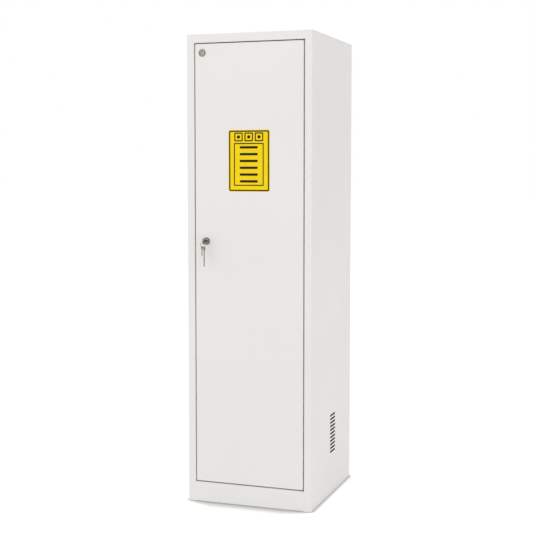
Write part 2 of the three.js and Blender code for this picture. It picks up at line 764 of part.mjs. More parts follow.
// A flat rod with a rack near one end. Its teeth face the wheel, and side = 1 is the rod to the
// right of it. The teeth stand half a pitch off the wheel's axis, where the wheel has a tooth.
function rod(side, bottom, top, rackMiddle) {
  const rootX = PITCH_RADIUS + DEDENDUM + 0.1;
  const tipX = PITCH_RADIUS - ADDENDUM;
  const outline = [[rootX, bottom]];
  const firstTooth = Math.round((rackMiddle - LOCK_Z) / TOOTH_PITCH) - RACK_TEETH / 2;
  for (let tooth = 0; tooth < RACK_TEETH; tooth += 1) {
    const z = LOCK_Z + (firstTooth + tooth + 0.5) * TOOTH_PITCH;
    outline.push(
      [rootX, z - halfTooth(-DEDENDUM)],
      [tipX, z - halfTooth(ADDENDUM)],
      [tipX, z + halfTooth(ADDENDUM)],
      [rootX, z + halfTooth(-DEDENDUM)],
    );
  }
  outline.push([rootX, top], [rootX + ROD_WIDTH, top], [rootX + ROD_WIDTH, bottom]);
  return alongY(polygon(outline.map(([x, z]) => [LOCK_X + side * x, z])), ROD_FRONT, ROD_BACK);
}

function topRod() {
  return rod(1, CASE_Z[0] + 9, TOP_ROD_TIP, LOCK_Z - ROD_TRAVEL / 2);
}

function bottomRod() {
  return rod(-1, BOTTOM_ROD_TIP, CASE_Z[1] - 9, LOCK_Z + ROD_TRAVEL / 2);
}

// A moulded guide on the stiffener's crown, with a window that the rod slides through.
function rodGuide(side, z) {
  const x = LOCK_X + side * (PITCH_RADIUS + DEDENDUM + 0.1 + ROD_WIDTH / 2);
  const half = ROD_WIDTH / 2 + GUIDE_PLAY;
  const outer = roundedRectangle(x - GUIDE_WIDTH / 2, x + GUIDE_WIDTH / 2, CASE_FRONT, COVER_BACK, 1.5);
  outer.holes.push(polygon([
    [x - half, ROD_FRONT - GUIDE_PLAY],
    [x + half, ROD_FRONT - GUIDE_PLAY],
    [x + half, ROD_BACK + GUIDE_PLAY],
    [x - half, ROD_BACK + GUIDE_PLAY],
  ]));
  return alongZ(outer, z - GUIDE_HEIGHT / 2, z + GUIDE_HEIGHT / 2, 2);
}

// A folded channel behind the left stop lip, which the middle cam turns behind.
function lockKeeper() {
  const openX = STOP_LIP - OPENING_X - GAP;
  const webX = 2 - OPENING_X;
  const front = STOP_BACK + GAP + HALF;
  const back = COVER_BACK - HALF;
  return alongZ(foldedSection([
    [openX, front],
    [webX, front],
    [webX, back],
    [openX, back],
  ]), LOCK_Z - 25, LOCK_Z + 25);
}

// Keys

// A row of notches along one edge of a blade, as [along, across] points.
function notchedEdge(start, end, edge, depth) {
  const points = [];
  const notches = 4;
  const pitch = (end - start) / (notches + 1);
  for (let i = 1; i <= notches; i += 1) {
    const middle = start + i * pitch;
    const deep = depth * (i % 2 === 0 ? 1 : 0.6);
    points.push([middle - pitch * 0.35, edge], [middle, edge - Math.sign(edge) * deep], [middle + pitch * 0.35, edge]);
  }
  return points;
}

// The key in the lock: its bow stands upright in front of the door and its blade fills the keyway.
function insertedKey() {
  const bowTurn = Math.asin(KEY_NECK / 2 / KEY_BOW.radius);
  const half = KEY_BLADE.height / 2;
  const outline = new THREE.Shape();
  outline.absarc(KEY_BOW.middle, 0, KEY_BOW.radius, bowTurn, 2 * Math.PI - bowTurn);
  const edge = [
    [KEY_SHOULDER, -KEY_NECK / 2],
    [KEY_SHOULDER, -half],
    ...notchedEdge(KEY_SHOULDER + 3, KEY_BLADE.tip - 2, -half, 1.8),
    [KEY_BLADE.tip - 2, -half],
    [KEY_BLADE.tip, 0],
    [KEY_BLADE.tip - 2, half],
    [KEY_SHOULDER, half],
    [KEY_SHOULDER, KEY_NECK / 2],
  ];
  edge.forEach(([y, z]) => outline.lineTo(y, z));
  outline.holes.push(circle(KEY_HOLE.y, -KEY_HOLE.drop, KEY_HOLE.radius));
  return alongX(outline, LOCK_X - KEY_THICKNESS / 2, LOCK_X + KEY_THICKNESS / 2, 10).translate(0, 0, LOCK_Z);
}

function keyRing() {
  const ring = new THREE.TorusGeometry(RING.radius, RING.wire, 8, 32);
  return ring.rotateX(Math.PI / 2).translate(RING.x, KEY_HOLE.y, RING_Z);
}

// Height of the ring's wire where a hanging key crosses it.
function wireHeight(x) {
  return RING_Z - Math.sqrt(RING.radius ** 2 - (x - RING.x) ** 2);
}

// A spare key hangs from the ring by the hole in its bow, with its blade straight down.
function spareKey({ x, top, bottom, bow, hole, blade }) {
  const bowMiddle = top - bow;
  const holeMiddle = wireHeight(x) + RING.wire + RING.play - hole;
  const bowTurn = Math.asin(blade / 2 / bow);
  const outline = new THREE.Shape();
  outline.absarc(0, bowMiddle, bow, bowTurn - Math.PI / 2, (3 * Math.PI) / 2 - bowTurn);
  const shoulder = bowMiddle - bow - 4;
  const edge = [
    [bottom + 2, -blade / 2],
    [bottom, 0],
    [bottom + 2, blade / 2],
    ...notchedEdge(bottom + 4, shoulder, blade / 2, blade * 0.28),
  ];
  edge.forEach(([z, y]) => outline.lineTo(y, z));
  outline.holes.push(circle(0, holeMiddle, hole));
  const half = KEY_THICKNESS / 2;
  return alongX(outline, x - half, x + half, 8).translate(0, KEY_HOLE.y, 0);
}

// Assembly

const cabinet = new THREE.Group();
cabinet.position.y = -(DEPTH - KEY_REACH) / 2;

function add(name, finish, geometry) {
  const mesh = new THREE.Mesh(geometry, new THREE.MeshStandardMaterial(FINISHES[finish]));
  mesh.name = name;
  cabinet.add(mesh);
}

add('left_side_panel', 'paint', sidePanel(-1));
add('right_side_panel', 'paint', sidePanel(1));
add('left_door_stop', 'paint', doorStop(-1));
add('right_door_stop', 'paint', doorStop(1));
add('top_panel', 'paint', topPanel());
add('back_panel', 'paint', backPanel());
add('front_plinth', 'paint', frontPlinth());
add('floor_panel', 'paint', floorPanel());

for (const [place, middle] of Object.entries(UPRIGHT_MIDDLES)) {
  add(`${place}_left_upright`, 'paint', upright(-1, middle));
  add(`${place}_right_upright`, 'paint', upright(1, middle));
}
for (const [level, slotNumber] of Object.entries(TRAY_SLOTS)) {
  const bottom = trayBottom(slotNumber);
  add(`${level}_left_hanger`, 'zinc', trayHanger(-1, bottom - GAP));
  add(`${level}_right_hanger`, 'zinc', trayHanger(1, bottom - GAP));
  add(`${level}_tray`, 'paint', tray(bottom, TRAY_RIM));
}
add('sump_tray', 'polymer', tray(FLOOR_TOP + GAP, SUMP_RIM));

add('door_skin', 'paint', doorSkin());
add('latch_side_stiffener', 'paint', latchStiffener());
add('hinge_side_stiffener', 'paint', stiffener(HINGE_STIFFENER));
add('bottom_pivot_pin', 'zinc', pivotPin(PLINTH, 1));
add('top_pivot_pin', 'zinc', pivotPin(OPENING_TOP, -1));
add('bottom_pivot_bush', 'nylon', pivotBush(DOOR_BOTTOM, 1));
add('top_pivot_bush', 'nylon', pivotBush(DOOR_TOP, -1));
add('pivot_washer', 'zinc', pivotWasher());
for (const [place, z] of Object.entries(BUMPER.heights)) {
  add(`${place}_door_bumper`, 'rubber', doorBumper(z));
}

const lockCamFront = COVER_BACK + GAP;
const lockSpindleEnd = lockCamFront + CAM_THICKNESS;
add('lock_body', 'nickel', lockBody(LOCK_X, LOCK_Z, DOOR_DEPTH));
add('lock_nut', 'zinc', lockNut(LOCK_X, LOCK_Z));
add('lock_plug', 'nickel', lockPlug(LOCK_X, LOCK_Z, DOOR_DEPTH, lockSpindleEnd));
add('lock_case', 'zinc', lockCase());
add('lock_case_cover', 'zinc', lockCaseCover());
for (const [place, z] of Object.entries(CASE_SCREWS)) {
  add(`${place}_case_screw`, 'zinc', countersunkScrew(z, 0));
}
add('drive_pinion', 'zinc', drivePinion());
add('lock_cam', 'zinc', cam(LOCK_X, LOCK_Z, CAM_REACH, 1, lockCamFront));
add('lock_cam_screw', 'zinc', camScrew(LOCK_X, LOCK_Z, lockSpindleEnd + GAP));
add('lock_keeper', 'zinc', lockKeeper());
add('top_rod', 'zinc', topRod());
add('bottom_rod', 'zinc', bottomRod());
for (const [rodName, { side, heights }] of Object.entries(ROD_GUIDES)) {
  for (const [place, z] of Object.entries(heights)) {
    add(`${rodName}_${place}_guide`, 'nylon', rodGuide(side, z));
  }
}

const upperCamFront = UPPER_BARREL_END + GAP;
const upperSpindleEnd = upperCamFront + CAM_THICKNESS;
add('upper_lock_body', 'nickel', lockBody(UPPER_LOCK_X, UPPER_LOCK_Z, UPPER_BARREL_END));
add('upper_lock_nut', 'zinc', lockNut(UPPER_LOCK_X, UPPER_LOCK_Z));
add('upper_lock_plug', 'nickel', tubularPlug(UPPER_LOCK_X, UPPER_LOCK_Z, UPPER_BARREL_END, upperSpindleEnd));
add('upper_lock_cam', 'zinc', cam(UPPER_LOCK_X, UPPER_LOCK_Z, UPPER_CAM_REACH, -1, upperCamFront));
add('upper_lock_screw', 'zinc', camScrew(UPPER_LOCK_X, UPPER_LOCK_Z, upperSpindleEnd + GAP));

add('inserted_key', 'nickel', insertedKey());
add('key_ring', 'nickel', keyRing());
add('long_spare_key', 'nickel', spareKey(LONG_KEY));
add('short_spare_key', 'nickel', spareKey(SHORT_KEY));

const part = new THREE.Group();
part.add(cabinet);

export default part;
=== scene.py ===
"""Finishes a corrosives cabinet: its paint and plating, the broken edges of its small metal parts, the
split ring of its keys, its dressed and spot welds, the sign plate on its door and the studio round it.

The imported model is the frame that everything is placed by: metres, +X to the right, -Y towards the
viewer, +Z up, with the origin on the floor under the middle of the cabinet.
"""

import math

import bmesh
import bpy
import numpy as np
from bpy.props import FloatProperty, FloatVectorProperty, IntProperty, PointerProperty
from bpy.types import Operator, Panel, PropertyGroup
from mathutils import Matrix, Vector


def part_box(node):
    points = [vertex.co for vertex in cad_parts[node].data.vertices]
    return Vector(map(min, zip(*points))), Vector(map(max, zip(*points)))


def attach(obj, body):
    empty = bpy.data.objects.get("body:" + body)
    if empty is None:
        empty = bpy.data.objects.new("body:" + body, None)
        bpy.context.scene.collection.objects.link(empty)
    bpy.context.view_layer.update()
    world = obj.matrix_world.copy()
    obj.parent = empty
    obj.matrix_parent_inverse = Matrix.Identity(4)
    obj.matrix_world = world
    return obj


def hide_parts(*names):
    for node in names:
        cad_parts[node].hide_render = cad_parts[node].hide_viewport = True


bl_info = {
    "name": "Corrosives Cabinet",
    "version": (1, 0, 0),
    "blender": (4, 5, 0),
    "location": "3D View > Sidebar > Cabinet",
    "description": "Finishes, welds, a split ring, a sign plate and a studio for a corrosives cabinet",
    "category": "Object",
}

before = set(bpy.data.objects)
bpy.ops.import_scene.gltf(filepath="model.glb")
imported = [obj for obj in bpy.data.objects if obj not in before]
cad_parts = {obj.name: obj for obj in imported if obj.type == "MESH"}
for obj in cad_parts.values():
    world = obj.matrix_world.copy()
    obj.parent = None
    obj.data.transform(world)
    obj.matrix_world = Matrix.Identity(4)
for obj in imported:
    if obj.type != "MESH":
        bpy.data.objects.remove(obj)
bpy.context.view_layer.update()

# The planes of the door's face and of the side panels' edges at the back.
FRONT = -0.255
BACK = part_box("left_side_panel")[1].y

# Edges of new pieces that turn by more than this stay sharp.
CREASE = math.radians(35)

# Heights of the thin raised forms.
WELD_RELIEF = 0.00012
INK_RELIEF = 0.00015

DUST_ON_PAINT = (0.60, 0.585, 0.55, 1.0)
DUST_ON_PLASTIC = (0.45, 0.44, 0.42, 1.0)
PLAIN_FLOOR = (0.96, 0.96, 0.96, 1.0)
WHITE = (1.0, 1.0, 1.0, 1.0)

# The Mix node's sockets for colours. They share their names with those for numbers.
MIX_FIRST, MIX_SECOND, MIX_RESULT = 6, 7, 2

# The studio: each lamp's place and width, the middle of the cabinet, and the rings and level of the floor.
KEY_LAMP = ((-3.5, -7.5, 4.5), 8.0)
FILL_LAMP = ((6.5, -3.0, 3.5), 7.0)
MIDDLE = (0.0, 0.0, 0.9)
FLOOR_RINGS = (0.0, 0.5, 1.0, 2.0, 4.0, 8.0, 16.0, 40.0)
FLOOR_STEPS = 64
FLOOR_LEVEL = -0.0005

PAINTED_PARTS = [
    "left_side_panel", "right_side_panel", "left_door_stop", "right_door_stop", "top_panel", "back_panel",
    "front_plinth", "floor_panel", "front_left_upright", "front_right_upright", "rear_left_upright",
    "rear_right_upright", "lower_tray", "middle_tray", "upper_tray", "door_skin", "latch_side_stiffener",
    "hinge_side_stiffener",
]
ROUND_PARTS = [
    "lock_body", "upper_lock_body", "lock_plug", "upper_lock_plug", "inserted_key", "long_spare_key",
    "short_spare_key", "bottom_pivot_pin", "top_pivot_pin", "pivot_washer", "bottom_pivot_bush",
    "top_pivot_bush", "lower_door_bumper", "upper_door_bumper", "lock_cam", "upper_lock_cam",
    "lock_cam_screw", "upper_lock_screw", "lock_nut", "upper_lock_nut",
]
HANGERS = [
    "lower_left_hanger", "lower_right_hanger", "middle_left_hanger", "middle_right_hanger",
    "upper_left_hanger", "upper_right_hanger",
]
FLAT_PARTS = [
    "lower_tray", "middle_tray", "upper_tray", *HANGERS, "lock_case", "lock_case_cover", "lock_keeper",
    "front_plinth",
]
ZINC_PARTS = [
    *HANGERS, "bottom_pivot_pin", "top_pivot_pin", "pivot_washer", "lock_keeper", "lock_nut",
    "upper_lock_nut", "lock_case", "lock_case_cover", "lower_case_screw", "upper_case_screw",
    "drive_pinion", "lock_cam", "lock_cam_screw", "top_rod", "bottom_rod", "upper_lock_cam",
    "upper_lock_screw",
]
NYLON_PARTS = [
    "bottom_pivot_bush", "top_pivot_bush", "top_rod_lower_guide", "top_rod_upper_guide",
    "bottom_rod_lower_guide", "bottom_rod_upper_guide",
]


def centre_of(node):
    """The middle of a node's box at rest."""
    low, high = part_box(node)
    return (low + high) / 2


# Settings


class PaintSettings(PropertyGroup):
    """Powder coat on the folded steel."""

    colour: FloatVectorProperty(
        name="Paint colour", description="Light grey of the powder coat",
        subtype="COLOR", size=3, min=0.0, max=1.0, default=(0.82, 0.806, 0.782),
    )
    roughness: FloatProperty(
        name="Roughness", description="Roughness of the semi-matt coat", min=0.0, max=1.0, default=0.42,
    )
    grain: FloatProperty(
        name="Grain size", description="Width of one ripple of the coat", unit="LENGTH", default=0.0022,
    )
    relief: FloatProperty(
        name="Relief", description="Depth of the ripples", unit="LENGTH", default=0.00004, precision=6,
    )


class PlatingSettings(PropertyGroup):
    """Plated and moulded small parts."""

    zinc: FloatVectorProperty(
        name="Zinc", description="Colour of the zinc plating",
        subtype="COLOR", size=3, min=0.0, max=1.0, default=(0.43, 0.44, 0.455),
    )
    # This nickel is kept dark on the keys and the middle lock's plug: partly worn plate, partly a painted dark
    # reflection.
    nickel: FloatVectorProperty(
        name="Nickel", description="Colour of the worn nickel plating on the keys",
        subtype="COLOR", size=3, min=0.0, max=1.0, default=(0.36, 0.345, 0.32),
    )
    rose: FloatVectorProperty(
        name="Lock faces", description="Colour of the nickel plating on the faces of the locks",
        subtype="COLOR", size=3, min=0.0, max=1.0, default=(0.62, 0.59, 0.555),
    )
    post: FloatVectorProperty(
        name="Upper plug", description="Colour of the polished plating on the upper lock's plug",
        subtype="COLOR", size=3, min=0.0, max=1.0, default=(0.93, 0.91, 0.87),
    )
    nylon: FloatVectorProperty(
        name="Nylon", description="Colour of the guides and bushes",
        subtype="COLOR", size=3, min=0.0, max=1.0, default=(0.02, 0.02, 0.022),
    )
    rubber: FloatVectorProperty(
        name="Rubber", description="Colour of the door bumpers",
        subtype="COLOR", size=3, min=0.0, max=1.0, default=(0.012, 0.012, 0.013),
    )
    polymer: FloatVectorProperty(
        name="Sump polymer", description="Colour of the moulded sump tray",
        subtype="COLOR", size=3, min=0.0, max=1.0, default=(0.69, 0.70, 0.68),
    )


class SignSettings(PropertyGroup):
    """The sign plate on the door and its lines."""

    width: FloatProperty(name="Width", description="Width of the plate", unit="LENGTH", default=0.165)
    height: FloatProperty(name="Height", description="Height of the plate", unit="LENGTH", default=0.232)
    thickness: FloatProperty(
        name="Thickness", description="Thickness of the plate", unit="LENGTH", default=0.0009, precision=5,
    )
    corner: FloatProperty(
        name="Corner", description="Corner radius of the plate", unit="LENGTH", default=0.008,
    )
    across: FloatProperty(
        name="Middle X", description="Middle of the plate across", unit="LENGTH", default=0.002,
    )
    above: FloatProperty(
        name="Middle Z", description="Middle of the plate above the floor", unit="LENGTH", default=1.322,
    )
    margin: FloatProperty(
        name="Margin", description="Yellow margin outside the border line", unit="LENGTH", default=0.0025,
    )
    border: FloatProperty(
        name="Border", description="Width of the border line", unit="LENGTH", default=0.005,
    )
    yellow: FloatVectorProperty(
        name="Yellow", description="Colour of the plate",
        subtype="COLOR", size=3, min=0.0, max=1.0, default=(0.93, 0.67, 0.002),
    )
    ink: FloatVectorProperty(
        name="Ink", description="Colour of the lines on the plate",
        subtype="COLOR", size=3, min=0.0, max=1.0, default=(0.012, 0.011, 0.01),
    )


class EdgeSettings(PropertyGroup):
    """Broken edges of the metal parts and round edges of the sump tray."""

    width: FloatProperty(
        name="Edge width", description="Width of a broken edge", unit="LENGTH", default=0.0002, precision=5,
    )
    angle: FloatProperty(
        name="Edge angle", description="Edges sharper than this stay edges",
        subtype="ANGLE", default=math.radians(40),
    )
    moulded: FloatProperty(
        name="Moulded edge", description="Width of the sump tray's round edges",
        unit="LENGTH", default=0.0016, precision=5,
    )
    facet: FloatProperty(
        name="Facet angle", description="Flat parts stay faceted above this",
        subtype="ANGLE", default=math.radians(5),
    )


class RingSettings(PropertyGroup):
    """The split ring that carries the keys."""

    width: FloatProperty(
        name="Wire width", description="Width of the ring's wire", unit="LENGTH", default=0.0015, precision=5,
    )
    crossing: FloatProperty(
        name="Crossing", description="Angle over which the wire steps from one turn to the next",
        subtype="ANGLE", default=math.radians(40),
    )
    steps: IntProperty(name="Steps", description="Steps along both turns", min=48, max=512, default=192)


class WeldSettings(PropertyGroup):
    """Dressed welds on the front and spot welds on the back."""

    fill: FloatProperty(
        name="Fill width", description="Width of a dressed weld on the front", unit="LENGTH", default=0.0065,
    )
    spot: FloatProperty(
        name="Spot radius", description="Radius of a spot weld", unit="LENGTH", default=0.003,
    )
    pitch: FloatProperty(
        name="Spot pitch", description="Distance between spot welds", unit="LENGTH", default=0.11,
    )


class StudioSettings(PropertyGroup):
    """Floor, lamps and camera."""

    camera: FloatVectorProperty(
        name="Camera", description="Place of the camera", subtype="TRANSLATION", unit="LENGTH", size=3,
        default=(1.4802, -4.2577, 1.2927),
    )
    turn: FloatProperty(
        name="Turn", description="How far the camera is turned to the left",
        subtype="ANGLE", default=math.radians(19.364),
    )
    dip: FloatProperty(
        name="Dip", description="How far the camera looks down", subtype="ANGLE", default=math.radians(4.101),
    )
    lens: FloatProperty(name="Lens", description="Focal length in millimetres", min=10.0, default=74.08)
    rise: FloatProperty(
        name="Rise", description="Shift of the picture, as a part of its height", default=-0.0458, precision=4,
    )
    world: FloatProperty(
        name="World light", description="Strength of the even light", min=0.0, default=0.87,
    )
    key: FloatProperty(
        name="Key light", description="Power of the key lamp", unit="POWER", min=0.0, default=105.0,
    )
    fill: FloatProperty(
        name="Fill light", description="Power of the fill lamp", unit="POWER", min=0.0, default=18.0,
    )
    floor: FloatVectorProperty(
        name="Floor", description="Colour of the floor",
        subtype="COLOR", size=3, min=0.0, max=1.0, default=(0.78, 0.78, 0.78),
    )
    glow: FloatProperty(
        name="Floor glow", description="Light that the floor adds where it is seen", min=0.0, default=0.46,
    )
    # The contact shadow is painted into the floor's colour and glow.
    reach: FloatProperty(
        name="Contact reach", description="Reach of the contact shadow", unit="LENGTH", default=0.02,
    )
    front_reach: FloatProperty(
        name="Front reach", description="Reach of the contact shadow before the front",
        unit="LENGTH", default=0.09,
    )
    depth: FloatProperty(
        name="Contact depth", description="Power that deepens the contact shadow", min=0.0, default=1.4,
    )


# Surfaces


def grid_faces(rows, columns, closed_rows, closed_columns):
    """Corner numbers of the faces between neighbouring points of a grid.

    Face (i, j) joins the points (i, j), (i + 1, j), (i + 1, j + 1) and (i, j + 1). A closed direction
    goes on from its last point to its first.
    """
    i, j = np.meshgrid(
        np.arange(rows if closed_rows else rows - 1),
        np.arange(columns if closed_columns else columns - 1),
        indexing="ij",
    )
    i, j = i.ravel(), j.ravel()
    p, q = (i + 1) % rows, (j + 1) % columns
    return np.stack([i * columns + j, p * columns + j, p * columns + q, i * columns + q], axis=1)


def clean_mesh(name, points, faces):
    """A mesh from points and faces, with its doubled points merged and its faces turned outwards."""
    merge = 1e-7
    mesh = bpy.data.meshes.new(name)
    mesh.from_pydata(points.tolist(), [], faces)
    shape = bmesh.new()
    shape.from_mesh(mesh)
    bmesh.ops.remove_doubles(shape, verts=shape.verts, dist=merge)
    bmesh.ops.dissolve_degenerate(shape, edges=shape.edges, dist=merge)
    bmesh.ops.recalc_face_normals(shape, faces=shape.faces)
    shape.to_mesh(mesh)
    shape.free()
    return mesh


def add_object(name, data):
    """An object for a mesh, a lamp or a camera, in the scene."""
    thing = bpy.data.objects.new(name, data)
    bpy.context.scene.collection.objects.link(thing)
    return thing


def make_piece(name, body, material, shells):
    """One object from shells, each a grid of points with the directions that close.

    A shell is (points, closed_rows, closed_columns), and points has the shape (rows, columns, 3). An
    open row of a shell that closes along its columns is shut with one flat face.
    """
    points, faces, count = [], [], 0
    for grid, closed_rows, closed_columns in shells:
        rows, columns, _ = grid.shape
        faces += (count + grid_faces(rows, columns, closed_rows, closed_columns)).tolist()
        if closed_columns and not closed_rows:
            faces.append((count + np.arange(columns)[::-1]).tolist())
            faces.append((count + (rows - 1) * columns + np.arange(columns)).tolist())
        points.append(grid.reshape(-1, 3))
        count += rows * columns
    mesh = clean_mesh(name, np.concatenate(points), faces)
    mesh.shade_smooth()
    mesh.set_sharp_from_angle(angle=CREASE)
    mesh.materials.append(material)
    piece = add_object(name, mesh)
    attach(piece, body)
    return piece


def turned(profile, axis, steps):
    """A profile of (radius, depth) points turned round a line through axis that runs front to back.

    Point (i, j) lies at the axis plus radius i times (cos, sin) of the angle 2 pi j / steps, at depth i.
    """
    radius, depth = np.asarray(profile, float).T
    angle = np.linspace(0, 2 * np.pi, steps, endpoint=False)
    return np.stack([
        axis[0] + radius[:, None] * np.cos(angle),
        axis[1] + depth[:, None] + 0 * angle,
        axis[2] + radius[:, None] * np.sin(angle),
    ], axis=-1)


def split_ring(centre, radius, width, height, crossing, steps, section=12):
    """A flat wire wound in two turns that lie against each other, round an axis from front to back.

    At angle t, from 0 to 4 pi, the wire's middle lies at radius times (cos t, sin t) across the axis.
    Along the axis it lies half a wire's height behind the middle on the first turn and as far before
    it on the second, and it crosses over smoothly about t = 2 pi. The section is a rounded oblong:
    a circle's cosine and sine, each raised to the power 0.6 with its sign kept.
    """
    t = np.linspace(0, 4 * np.pi, steps)[:, None]
    around = np.linspace(0, 2 * np.pi, section, endpoint=False)[None, :]
    step = np.clip((t - 2 * np.pi) / crossing + 0.5, 0, 1)
    along = height / 4 * (2 * step ** 2 * (3 - 2 * step) - 1)
    across = np.sign(np.cos(around)) * np.abs(np.cos(around)) ** 0.6 * width / 2
    deep = np.sign(np.sin(around)) * np.abs(np.sin(around)) ** 0.6 * height / 4
    reach = radius + across
    return np.stack([
        centre[0] + reach * np.cos(t),
        centre[1] - along + deep + 0 * t,
        centre[2] + reach * np.sin(t),
    ], axis=-1)


def dressed_seam(x, width, z_low, z_high, columns=9, rows=24, gap=0.00001):
    """A weld ground nearly flush, upright on the front at x: a low bump over a flat underside.

    Across the seam its height is the relief times (1 + cos(pi u)) / 2 for u from -1 to 1. The
    underside stands a gap before the front, and the bump starts another gap before that.
    """
    u = np.linspace(-1, 1, columns)
    bump = WELD_RELIEF * (1 + np.cos(np.pi * u)) / 2
    across = np.concatenate([x + u * width / 2, x + u[::-1] * width / 2])
    depth = np.concatenate([FRONT - 2 * gap - bump, np.full(columns, FRONT - gap)])
    z = np.linspace(z_low, z_high, rows)[:, None]
    return np.stack([across + 0 * z, depth + 0 * z, z + 0 * across], axis=-1), False, True


def spot_weld(x, z, radius):
    """The mark of a spot weld on the back: a shallow dish with a raised lip, turned about (x, z).

    The profile gives points as parts of the radius and of the relief.
    """
    profile = np.array([(0, 0.4), (0.55, 0.4), (0.75, 1), (0.9, 0.8), (1, 0)]) * (radius, WELD_RELIEF)
    return turned(profile, (x, BACK, z), steps=20), False, True


def rounded_plate(centre, width, height, corner, edge, steps=8):
    """A plate with rounded corners whose edge follows a section of (inset, depth) points.

    Point (i, j) lies on a rounded rectangle that is drawn in by inset i: the middle of corner circle j
    plus (corner - inset) times the unit direction of its angle. It stands depth i in front of centre.
    """
    inset, depth = np.asarray(edge, float).T
    angle = np.linspace(0, np.pi / 2, steps + 1)
    angle = np.concatenate([angle + k * np.pi / 2 for k in range(4)])
    reach = np.array([[1, 1], [-1, 1], [-1, -1], [1, -1]]) * [width / 2 - corner, height / 2 - corner]
    middle = np.repeat(reach, steps + 1, axis=0)
    radius = np.maximum(corner - inset, 0)[:, None]
    shrink = np.maximum(inset - corner, 0)[:, None]
    return np.stack([
        centre[0] + middle[:, 0] - np.sign(middle[:, 0]) * shrink + radius * np.cos(angle),
        centre[1] - depth[:, None] + 0 * angle,
        centre[2] + middle[:, 1] - np.sign(middle[:, 1]) * shrink + radius * np.sin(angle),
    ], axis=-1)


def flat_frame(centre, width, height, corner, line, relief):
    """A closed line of a given width round a rounded rectangle, raised by relief.

    Its section is a low rectangle with its two front edges broken by a quarter of the relief.
    """
    soft = relief / 4
    section = [
        (0, 0), (0, relief - soft), (soft, relief),
        (line - soft, relief), (line, relief - soft), (line, 0),
    ]
    return rounded_plate(centre, width, height, corner, section), True, True


def flat_plate(centre, width, height, corner, relief):
    """A low plate whose front edge is broken by a quarter of its relief."""
    soft = relief / 4
    section = [(0, 0), (0, relief - soft), (soft, relief), (corner + soft, relief)]
    return rounded_plate(centre, width, height, corner, section), False, True


# Shader parts


def new_group(name, inputs, outputs):
    """An empty shader node group with named sockets, and its input and output nodes."""
    group = bpy.data.node_groups.new(name, "ShaderNodeTree")
    for label, kind, default in inputs:
        socket = group.interface.new_socket(name=label, in_out="INPUT", socket_type=kind)
        socket.default_value = default
    for label, kind in outputs:
        group.interface.new_socket(name=label, in_out="OUTPUT", socket_type=kind)
    return group, group.nodes.new("NodeGroupInput"), group.nodes.new("NodeGroupOutput")


def add_node(tree, kind, inputs=None, **settings):
    """A node with its settings and inputs. An input is a value, or an output socket to link from."""
    node = tree.nodes.new(kind)
    for key, value in settings.items():
        setattr(node, key, value)
    for key, value in (inputs or {}).items():
        if isinstance(value, bpy.types.NodeSocket):
            tree.links.new(value, node.inputs[key])
        else:
            node.inputs[key].default_value = value
    return node


def math_node(tree, operation, *values):
    """The result of a Math node."""
    return add_node(tree, "ShaderNodeMath", dict(enumerate(values)), operation=operation).outputs[0]


def noise(tree, place, scale, detail, roughness, distortion=0.0):
    """The value of a noise texture."""
    return add_node(tree, "ShaderNodeTexNoise", {
        "Vector": place, "Scale": scale, "Detail": detail, "Roughness": roughness, "Distortion": distortion,
    }).outputs["Fac"]


def object_place(tree):
    """The place of a point in its object's own coordinates."""
    return add_node(tree, "ShaderNodeTexCoord").outputs["Object"]


def ramp(tree, value, low, high, to_low=0.0, to_high=1.0):
    """value carried from the range low..high to the range to_low..to_high and kept inside it."""
    return add_node(tree, "ShaderNodeMapRange", {
        "Value": value, "From Min": low, "From Max": high, "To Min": to_low, "To Max": to_high,
    }).outputs["Result"]


def surface_grain():
    """Ripples of a coated or moulded surface: fine waves for its height and broad ones for its tone."""
    group, given, out = new_group(
        "surface_grain",
        [("Size", "NodeSocketFloat", 0.002), ("Patch", "NodeSocketFloat", 0.25)],
        [("Height", "NodeSocketFloat"), ("Tone", "NodeSocketFloat")],
    )
    place = object_place(group)
    fine = math_node(group, "DIVIDE", 1.0, given.outputs["Size"])
    broad = math_node(group, "DIVIDE", 1.0, given.outputs["Patch"])
    ripples = noise(group, place, fine, detail=2.0, roughness=0.45)
    patches = noise(group, place, broad, detail=3.0, roughness=0.5)
    group.links.new(ripples, out.inputs["Height"])
    group.links.new(ramp(group, patches, 0.3, 0.7), out.inputs["Tone"])


def settled_dust():
    """Dust on faces that look up: the upward part of the normal, broken into patches by noise."""
    group, given, out = new_group(
        "settled_dust",
        [("Amount", "NodeSocketFloat", 0.2), ("Patch", "NodeSocketFloat", 0.05)],
        [("Mask", "NodeSocketFloat")],
    )
    normal = add_node(group, "ShaderNodeNewGeometry").outputs["Normal"]
    upward = add_node(group, "ShaderNodeSeparateXYZ", {"Vector": normal}).outputs["Z"]
    facing = ramp(group, upward, 0.6, 0.98)
    scale = math_node(group, "DIVIDE", 1.0, given.outputs["Patch"])
    cloud = noise(group, object_place(group), scale, detail=5.0, roughness=0.65)
    settled = math_node(group, "MULTIPLY", facing, ramp(group, cloud, 0.35, 0.75))
    group.links.new(math_node(group, "MULTIPLY", settled, given.outputs["Amount"]), out.inputs["Mask"])


def handling_wear():
    """Rubbed and greasy patches from hands and tools: thresholded noise with soft borders."""
    group, given, out = new_group(
        "handling_wear",
        [("Patch", "NodeSocketFloat", 0.02), ("Spread", "NodeSocketFloat", 0.5)],
        [("Mask", "NodeSocketFloat")],
    )
    scale = math_node(group, "DIVIDE", 1.0, given.outputs["Patch"])
    rubbed = noise(group, object_place(group), scale, detail=4.0, roughness=0.6, distortion=0.6)
    low = math_node(group, "SUBTRACT", 0.75, math_node(group, "MULTIPLY", given.outputs["Spread"], 0.5))
    high = math_node(group, "ADD", low, 0.2)
    group.links.new(ramp(group, rubbed, low, high), out.inputs["Mask"])


